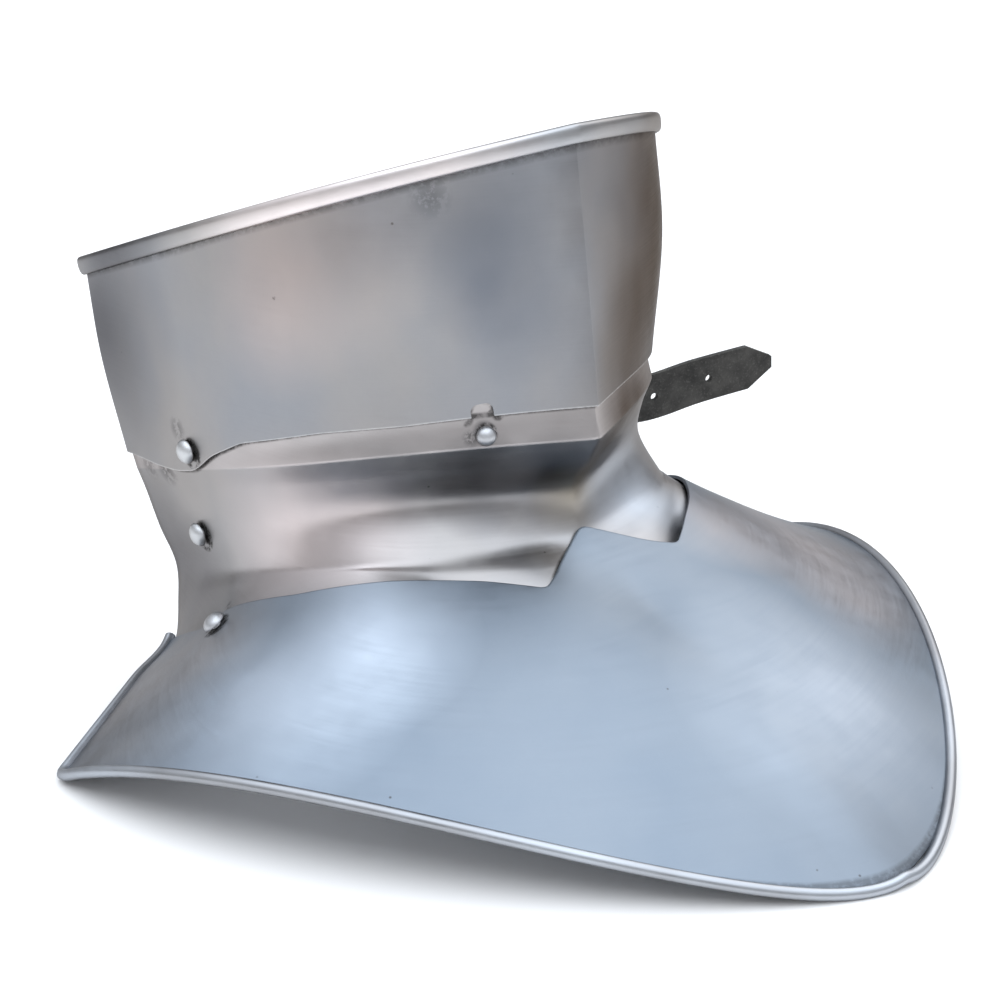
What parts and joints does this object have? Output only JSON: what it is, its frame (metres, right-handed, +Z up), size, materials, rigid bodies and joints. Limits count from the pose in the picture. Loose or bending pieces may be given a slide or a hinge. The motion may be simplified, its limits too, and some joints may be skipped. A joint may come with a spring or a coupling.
{
  "type": "bevor",
  "caption": "Steel bevor: a keeled face plate pivoted on a neck plate, with a flared gorget, a catch stud and a leather strap.",
  "frame": {"origin": "under the middle of the bounding box, on the surface the bevor rests on", "axes": "+X towards the wearer's left, +Y towards the wearer's back, +Z up"},
  "size_m": [0.4456, 0.3742, 0.2411],
  "materials": {
    "upper_steel": "satin polished",
    "neck_steel": "satin polished, fine horizontal brushing",
    "gorget_steel": "satin polished",
    "rivet_steel": "polished domes",
    "buckle_steel": "satin",
    "strap_leather": "suede side out"
  },
  "bodies": {
    "gorget_body": {"neck_plate": "neck_steel", "gorget_plate": "gorget_steel", "strap": "strap_leather", "strap_buckle": "buckle_steel", "pivot_rivet_right": "rivet_steel", "strap_rivet_right": "rivet_steel", "gorget_rivet_right": "rivet_steel", "pivot_rivet_left": "rivet_steel", "strap_rivet_left": "rivet_steel", "gorget_rivet_left": "rivet_steel"},
    "face_body": {"face_plate": "upper_steel"},
    "stud_body": {"catch_stud": "rivet_steel"}
  },
  "joints": [
    {"name": "face_plate_drop", "type": "hinge", "parent": "gorget_body", "child": "face_body", "pos_m": [-0.03444, 0.1109, 0.10225], "axis": [1, 0, 0], "range_deg": [0, 4]},
    {"name": "catch_press", "type": "slide", "parent": "gorget_body", "child": "stud_body", "axis": [0.5228, 0.807, -0.2746], "range_m": [0, 0.0022], "stiffness_N_per_m": 1500, "springref_m": -0.002}
  ]
}
